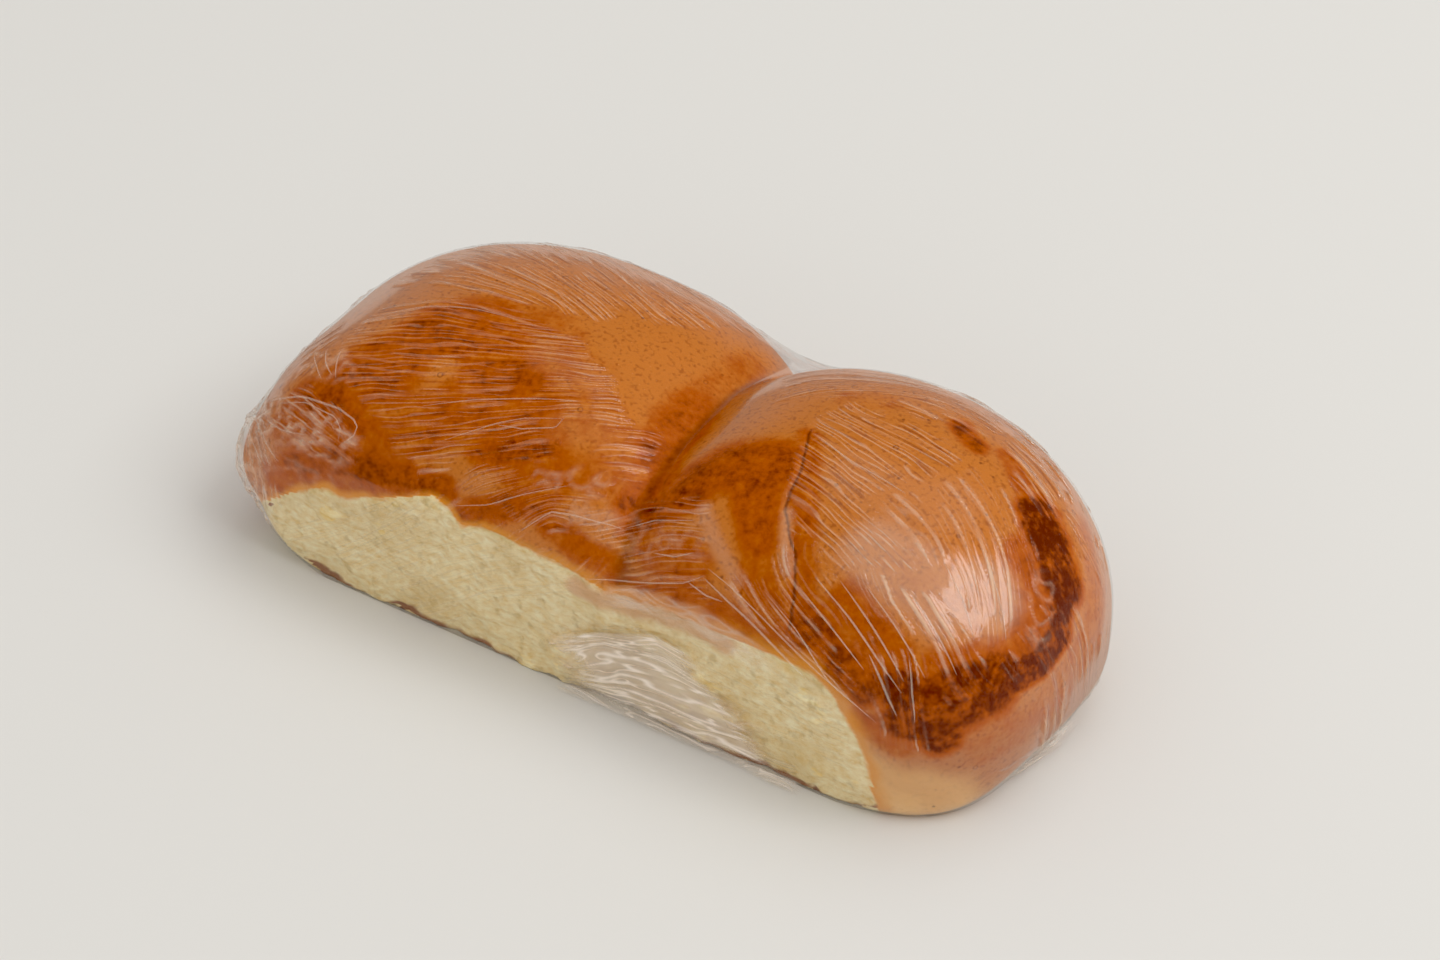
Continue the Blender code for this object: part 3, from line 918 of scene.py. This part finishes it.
def film_level(points):
    share = smooth_step(points[:, 1], WEB_FROM_Y, WEB_TO_Y)
    rounding = VALLEY_ROUNDING + (WEB_ROUNDING - VALLEY_ROUNDING) * share
    level = joined(bun_level(points, LARGE_BUN), bun_level(points, SMALL_BUN), rounding)
    level = joined(level - FILM_STAND_OFF, gather_level(points), GATHER["blend"])
    level = np.maximum(level, FILM_FRONT - points[:, 1])
    return np.maximum(level, FILM_FLOOR - points[:, 2])


def film_normals(points, reach=0.3):
    """Which way the film faces, from how its level changes over a short reach."""
    steps = np.eye(3) * reach
    slope = np.stack([film_level(points + s) - film_level(points - s) for s in steps], 1)
    return slope / np.linalg.norm(slope, axis=1)[:, None]


def onto_film(points):
    """Points slid along their rays from the heart until they lie on the film."""
    rays = points - HEART
    return halve_to(film_level, HEART, rays / np.linalg.norm(rays, axis=1)[:, None], LONGEST_RAY)


film, rays = sphere_directions("film", FILM_RINGS, FILM_MERIDIANS, fewer_below)
film_points = halve_to(film_level, HEART, rays, LONGEST_RAY)
print("film:", len(film_points), "points")

# %% Folds of the film
BOLD_LENGTH, BOLD_PITCH, BOLD_HEIGHT, BOLD_SWELL = 16.0, 3.0, 0.45, 0.16
CRUMPLE_SIZE, CRUMPLE_WIDTH = 3.2, 0.3
STUCK_FROM, STUCK_TO = 1.4, 1.65  # where film sticks so wetly that it has few folds
DEEPEST = -0.25
flow, fine, bold = pulled(film_points)
sway = rough(flow / (1.6 * BOLD_LENGTH, 4.0 * BOLD_PITCH, 1.0), 1.0, 6)
turns = flow[:, 1] / BOLD_PITCH + 1.2 * sway
waves = np.cos(2 * math.pi * turns)
lasting = smooth_step(rough(flow / (BOLD_LENGTH, BOLD_PITCH, 1.0), 1.0, 8), -0.25, 0.15)
crests = np.clip(waves, 0, 1) ** 2 * lasting
soaking_and_shade = patches_at(film_points, WET_AND_SHADE_PATCHES)
bold = bold * (1 - 0.8 * smooth_step(soaking_and_shade, STUCK_FROM, STUCK_TO))
lift = (crests * BOLD_HEIGHT + waves * lasting * BOLD_SWELL) * bold
crumpled = patches_at(film_points, CRUMPLED_PATCHES)
creases = np.clip(1 - np.abs(rough(film_points, CRUMPLE_SIZE, 7)) / CRUMPLE_WIDTH, 0, 1) ** 1.5 * crumpled
lift = np.maximum(lift + creases * BOLD_HEIGHT, DEEPEST) * smooth_step(film_points[:, 2], 0.3, 3.0)
set_points(film, film_points + rays * lift[:, None])
film.data.shade_smooth()
for name, values in (
        ("flow", flow), ("fine", fine), ("turns", turns), ("bold", bold * lasting), ("crease", creases),
        ("wet_and_shade", soaking_and_shade), ("veil_and_sheen", patches_at(film_points, VEIL_AND_SHEEN_PATCHES))):
    add_attribute(film, name, values)
print("folds up to", round(lift.max(), 2), "mm high")

# %% [markdown]
# Clear film hardly shows where it is flat. It shows by gloss, and by a faint milky veil where it lies clear
# of the crust or is pinched; along the outline and over the glare that veil is a painted reflection.
# Fresnel decides how much is mirrored; the rest goes through, less the veil. The fine lines are waves
# across the pull, 1.25 mm apart, which sway and come and go with a noise. The bold folds get a bright line
# along their crests the same way. The milky white on the lines and crests is partly pinched film and partly
# a painted highlight.

# %% Lines in the film
FINE_LENGTH, FINE_PITCH = 14.0, 1.25
film_material, tree = new_material("stretched clear polyethylene film")
flow_mm = node(tree, "Attribute", attribute_name="flow").outputs["Vector"]
fine_pull, turns, bold_pull, crease, wet_and_shade, veil_and_sheen = [
    node(tree, "Attribute", attribute_name=name).outputs["Fac"]
    for name in ("fine", "turns", "bold", "crease", "wet_and_shade", "veil_and_sheen")]
across = node(tree, "SeparateXYZ", {0: flow_mm}).outputs["Y"]
swaying, coming = [
    node(tree, "VectorMath", {0: flow_mm, 1: (1 / FINE_LENGTH, 1 / width, 1.0)}, operation="MULTIPLY")
    for width in (3 * FINE_PITCH, FINE_PITCH)]
sway = node(tree, "TexNoise", {"Vector": swaying, "Scale": 1.0, "Detail": 1.0})
swayed = node(tree, "Math", {0: sway, 1: 3.0 * FINE_PITCH, 2: across}, operation="MULTIPLY_ADD")
crest, line = [
    node(tree, "Math", {0: value, 1: 2 * math.pi / pitch}, operation="MULTIPLY")
    for value, pitch in ((turns, 1.0), (swayed, FINE_PITCH))]
crest, line = [node(tree, "Math", {0: angle}, operation="COSINE") for angle in (crest, line)]
crest, line = [
    node(tree, "MapRange", {"Value": wave, "From Min": low}, **SOFTLY)
    for wave, low in ((crest, 0.45), (line, 0.4))]
lasting = node(tree, "TexNoise", {"Vector": coming, "Scale": 1.0, "Detail": 1.0})
lasting = node(tree, "MapRange", {"Value": lasting, "From Min": 0.32, "From Max": 0.54}, **SOFTLY)
line = node(tree, "Math", {0: line, 1: lasting}, operation="MULTIPLY")
line = node(tree, "Math", {0: line, 1: fine_pull}, operation="MULTIPLY")
crest = node(tree, "Math", {0: crest, 1: bold_pull}, operation="MULTIPLY")
crease = node(tree, "Math", {0: crease, 1: 1.7}, operation="MULTIPLY")
crest = node(tree, "Math", {0: crest, 1: crease}, operation="MAXIMUM")
bump = node(tree, "Bump", {"Height": line, "Strength": 1.0, "Distance": 0.16 * MM})
bump = node(tree, "Bump", {
    "Height": crest, "Strength": 1.0, "Distance": 0.3 * MM, "Normal": bump})
print("lines from", len(tree.nodes), "nodes")

# %% Film material
# stretched polyethylene, blown: glossy, colourless, slightly milky where it is crumpled
FILM_IOR = 1.5
MOST_MIRRORED = 0.36
gap, slack, surfaces = [
    node(tree, "MapRange", {
        "Value": wet_and_shade, "From Min": low, "From Max": high, "To Min": dry, "To Max": soaked_and_shade})
    for low, high, dry, soaked_and_shade in ((0.2, 0.8, 0.01, 0.0), (0.5, 1.7, 0.20, 0.05), (0.3, 1.5, 1.9, 0.35))]
# the milky share: real milkiness, plus painted reflection from the veil map and a painted highlight on the
# lines and crests
milk_and_sheen = node(tree, "Math", {0: veil_and_sheen, 1: gap}, operation="ADD")
for lines, share in ((line, slack), (crest, 0.24)):
    milk_and_sheen = node(tree, "Math", {0: lines, 1: share, 2: milk_and_sheen}, operation="MULTIPLY_ADD")
clear = node(tree, "BsdfTransparent")
haze = node(tree, "BsdfDiffuse", {"Color": linear("#ffe6cc")})
gloss = node(tree, "BsdfGlossy", {"Roughness": 0.12, "Normal": bump})
from_inside = node(tree, "NewGeometry").outputs["Backfacing"]
ior = node(tree, "Mix", {0: from_inside, 2: FILM_IOR, 3: 1 / FILM_IOR})
fresnel = node(tree, "Fresnel", {"IOR": ior})
mirror = node(tree, "Math", {0: fresnel, 1: surfaces}, operation="MULTIPLY")
mirror = node(tree, "Math", {0: mirror, 1: MOST_MIRRORED}, operation="MINIMUM")
body = node(tree, "MixShader", {0: milk_and_sheen, 1: clear, 2: haze})
surface = node(tree, "MixShader", {0: mirror, 1: body, 2: gloss})
node(tree, "OutputMaterial", {"Surface": surface})
film.data.materials.append(film_material)
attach(film, "root")
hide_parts("wrapped_buns")
print(len(tree.nodes), "nodes in the film's material")

# %% [markdown]
# The sharpest folds stand proud of the film as thin pinched ridges. Each is a small closed strip
# with a roof-shaped section, pointed at both ends. Each lies about where the photo shows one,
# and its width comes from a seeded draw.

# %% Lines of the raised folds
LONG_FOLDS = [
    # height in mm, places in the photo
    (0.30, [(590, 577), (636, 580), (685, 581), (704, 574)]),
    (0.26, [(688, 581), (706, 593), (722, 600)]),
    (0.36, [(704, 576), (724, 596), (749, 619), (807, 677)]),
    (0.30, [(708, 568), (728, 584), (748, 602), (800, 655), (850, 700)]),
    (0.26, [(762, 588), (795, 628), (825, 677), (874, 720)]),
    (0.30, [(271, 403), (309, 398), (345, 410), (363, 424), (362, 436), (345, 448)]),
    (0.26, [(285, 405), (312, 404), (340, 418), (350, 430), (343, 442)]),
    (0.22, [(318, 356), (321, 368), (327, 381)]),
    (0.22, [(330, 352), (329, 364), (335, 376)]),
    (0.22, [(345, 352), (343, 366), (341, 380)]),
    (0.20, [(385, 317), (433, 309), (480, 313), (520, 322)]),
    (0.20, [(429, 408), (481, 403), (530, 401), (580, 404)]),
    (0.20, [(503, 427), (527, 431), (558, 429), (568, 419)]),
    (0.20, [(449, 442), (475, 432), (500, 425), (530, 421), (566, 421)]),
    (0.24, [(627, 528), (657, 520), (696, 520)]),
    (0.22, [(655, 552), (675, 556), (694, 552)]),
    (0.30, [(246, 424), (251, 455), (262, 484)]),
    (0.26, [(252, 418), (260, 448), (273, 474)]),
    (0.26, [(260, 410), (268, 436), (283, 462)]),
    (0.24, [(248, 446), (253, 474), (258, 498)]),
    (0.24, [(270, 420), (290, 432), (312, 436)]),
    (0.30, [(797, 585), (826, 622), (862, 668)]),
    (0.32, [(812, 575), (846, 616), (880, 664), (898, 690)]),
    (0.30, [(838, 580), (872, 628), (902, 680)]),
    (0.28, [(862, 584), (890, 622), (922, 676)]),
    (0.26, [(905, 590), (930, 628), (952, 672)]),
    (0.26, [(940, 560), (958, 600), (972, 640)]),
    (0.26, [(975, 545), (992, 590), (1004, 640)]),
    (0.24, [(521, 532), (553, 512), (573, 514), (614, 525), (627, 529)]),
    (0.22, [(457, 506), (493, 505), (527, 495), (573, 486)]),
    (0.40, [(865, 651), (884, 694), (893, 712)]),
    (0.34, [(904, 655), (908, 690), (912, 720)]),
    (0.30, [(815, 440), (850, 464), (901, 494)]),
]
print(len(LONG_FOLDS), "raised folds")


# %% Raised folds
FOLD_STEPS = 18
NARROWEST, WIDEST = 1.1, 1.7
SECTION = ((-0.5, -0.1), (-0.15, 0.9), (0.15, 0.9), (0.5, -0.1))


def fold_strips(name, lines, widths, heights):
    """One mesh of closed ridges, pointed at both ends, that lie on the film."""
    lines = np.array(lines)
    count, steps = lines.shape[:2]
    centre = onto_film(lines.reshape(-1, 3)).reshape(count, steps, 3)
    up = film_normals(centre.reshape(-1, 3)).reshape(count, steps, 3)
    side = np.cross(up, np.gradient(centre, axis=1))
    side /= np.maximum(np.linalg.norm(side, axis=2, keepdims=True), 1e-9)
    swell = np.sin(np.linspace(0.02, 0.98, steps) * math.pi) ** 0.6
    width = (widths[:, None] * swell)[..., None]
    height = (heights[:, None] * swell)[..., None]
    rows = np.stack([centre + side * width * a + up * height * b for a, b in SECTION], 2)
    around = len(SECTION)
    faces = []
    for base in range(0, count * steps * around, steps * around):
        for k in range(base, base + (steps - 1) * around, around):
            faces += [(k + j, k + (j + 1) % around, k + around + (j + 1) % around, k + around + j)
                      for j in range(around)]
        faces.append(tuple(base + j for j in reversed(range(around))))
        faces.append(tuple(base + (steps - 1) * around + j for j in range(around)))
    mesh = bpy.data.meshes.new(name)
    mesh.from_pydata((rows.reshape(-1, 3) * MM).tolist(), [], faces)
    mesh.shade_smooth()
    made = bpy.data.objects.new(name, mesh)
    bpy.context.scene.collection.objects.link(made)
    return made


draw = np.random.default_rng(11)
heights = np.array([height for height, _ in LONG_FOLDS])
lines = [evenly_along(seen_at(places), FOLD_STEPS)[0] for _, places in LONG_FOLDS]
folds = fold_strips("film_folds", lines, heights * draw.uniform(NARROWEST, WIDEST, len(lines)), heights)
print("raised folds with", len(folds.data.polygons), "faces")

# %% Pinched film
# the same film in several thicknesses: still glossy, but milky
FOLD_MILK = 0.15
pinched, tree = new_material("pinched clear polyethylene film")
milk = node(tree, "Attribute", attribute_name="milk").outputs["Fac"]
clear = node(tree, "BsdfTransparent")
haze = node(tree, "BsdfDiffuse", {"Color": linear("#fff0e0")})
gloss = node(tree, "BsdfGlossy", {"Roughness": 0.2})
body = node(tree, "MixShader", {0: milk, 1: clear, 2: haze})
mirror = node(tree, "Math", {0: milk, 1: 0.22}, operation="MULTIPLY")
surface = node(tree, "MixShader", {0: mirror, 1: body, 2: gloss})
node(tree, "OutputMaterial", {"Surface": surface})
add_attribute(folds, "milk", np.full(len(folds.data.vertices), FOLD_MILK))
folds.data.materials.append(pinched)
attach(folds, "root")
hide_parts("wrapped_buns")
print(len(tree.nodes), "nodes in the pinched film's material")

# %% [markdown]
# Over the middle of the crumb the film lies double and crumpled, and a thin second layer veils
# its upper edge. A loose edge of film runs along the table in front, and a small flap lies at the
# right. All four are open sheets laid between guide lines and ruffled lengthwise.

# %% Ruffled sheets
RIM_ALONG, RIM_ACROSS = 7.0, 1.6
LINE_WIDTH = 0.2
BETWEEN_LINES = 0.35


def film_sheet(name, guides, points_along, points_across, pitch, depth, milk, seed):
    """A ruffled sheet between guide lines in mm, milky by this share and thinning out at its rim."""
    rows = np.array([evenly_along(guide, points_along)[0] for guide in guides])
    places = np.linspace(0, len(rows) - 1, points_across)
    first = np.minimum(places.astype(int), len(rows) - 2)
    share = (places - first)[:, None, None]
    grid = rows[first] * (1 - share) + rows[first + 1] * share
    shape = (points_across, points_along)
    along = np.broadcast_to(evenly_along(guides[0], points_along)[1], shape)
    width = np.linalg.norm(rows[-1] - rows[0], axis=1).mean()
    across = np.broadcast_to(np.linspace(0, width, points_across)[:, None], shape)
    sway = rough(np.stack([along / 12, across / 6, 0 * along], 2).reshape(-1, 3), 1.0, seed).reshape(shape)
    ruffles = np.stack([along / 8 + sway, across / pitch + 3 * sway, 0 * along], 2).reshape(-1, 3)
    ruffles = rough(ruffles, 1.0, seed + 1).reshape(shape)
    outward = np.cross(np.gradient(grid, axis=1), np.gradient(grid, axis=0))
    outward /= np.linalg.norm(outward, axis=2, keepdims=True)
    outward *= np.sign((outward * (grid - HEART)).sum(2).mean())
    grid = grid + outward * (depth * (0.6 + ruffles))[..., None]
    grid[..., 2] = np.maximum(grid[..., 2], FILM_FLOOR)
    faces = [(a, a + 1, a + 1 + points_along, a + points_along)
             for row in range(points_across - 1)
             for a in range(row * points_along, (row + 1) * points_along - 1)]
    mesh = bpy.data.meshes.new(name)
    mesh.from_pydata((grid.reshape(-1, 3) * MM).tolist(), [], faces)
    mesh.shade_smooth()
    made = bpy.data.objects.new(name, mesh)
    bpy.context.scene.collection.objects.link(made)
    rim = np.minimum(along, along.max() - along) / RIM_ALONG
    rim = np.minimum(rim, np.minimum(across, width - across) / RIM_ACROSS)
    rim = smooth_step(rim + 0.5 * sway, 0.05, 1.0)
    lines = np.clip(1 - np.abs(ruffles) / LINE_WIDTH, 0, 1)
    add_attribute(made, "milk", (milk * rim * (BETWEEN_LINES + (1 - BETWEEN_LINES) * lines)).ravel())
    print(name, "has", len(faces), "faces")
    return made


# %% Loose film
DOUBLED = [
    [(560, 628), (600, 626), (655, 628), (700, 650)],
    [(556, 645), (610, 642), (672, 658), (720, 682)],
    [(562, 668), (620, 676), (690, 700), (760, 730)],
    [(570, 686), (640, 706), (710, 736), (790, 765)],
]
SECOND_LAYER = [
    [(600, 582), (650, 585), (702, 600), (752, 632), (784, 660)],
    [(601, 592), (645, 597), (694, 612), (740, 642), (772, 666)],
    [(599, 604), (640, 610), (688, 626), (732, 654), (760, 674)],
]
LOOSE_EDGE = [(560, 678), (595, 697), (640, 716), (700, 740), (760, 763), (815, 785)]
FLAP_TOP = [(958, 782), (1000, 765), (1040, 740), (1068, 712)]
FLAP_FOOT = [(972, 795), (1016, 776), (1058, 748), (1084, 718)]
doubled = [onto_film(seen_at(guide)) + (0, -0.6, 0) for guide in DOUBLED]
second = [onto_film(seen_at(guide)) + (0, -0.25, 0.1) for guide in SECOND_LAYER]
flap = [onto_film(seen_at(FLAP_TOP)), on_table(FLAP_FOOT) + (0, 0, 0.3)]
loose_edge = on_table(LOOSE_EDGE)
loose_edge[:, 1] = np.clip(loose_edge[:, 1], FILM_FRONT - 0.4, FILM_FRONT)
skirt = [loose_edge + offset for offset in ((0, -0.4, 3.0), (0, -0.8, 1.6), (0, -1.6, 0.7), (0, -2.6, 0.4))]
sheets = [
    film_sheet("film_doubled", doubled, 220, 150, 0.8, 0.6, 1.0, 21),
    film_sheet("film_loose_edge", skirt, 260, 50, 0.7, 0.4, 0.7, 22),
    film_sheet("film_second_layer", second, 140, 30, 1.6, 0.15, 0.3, 23),
    film_sheet("film_flap", flap, 120, 16, 0.9, 0.3, 0.5, 24),
]
for sheet in sheets:
    sheet.data.materials.append(pinched)
    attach(sheet, "root")
    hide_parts("wrapped_buns")
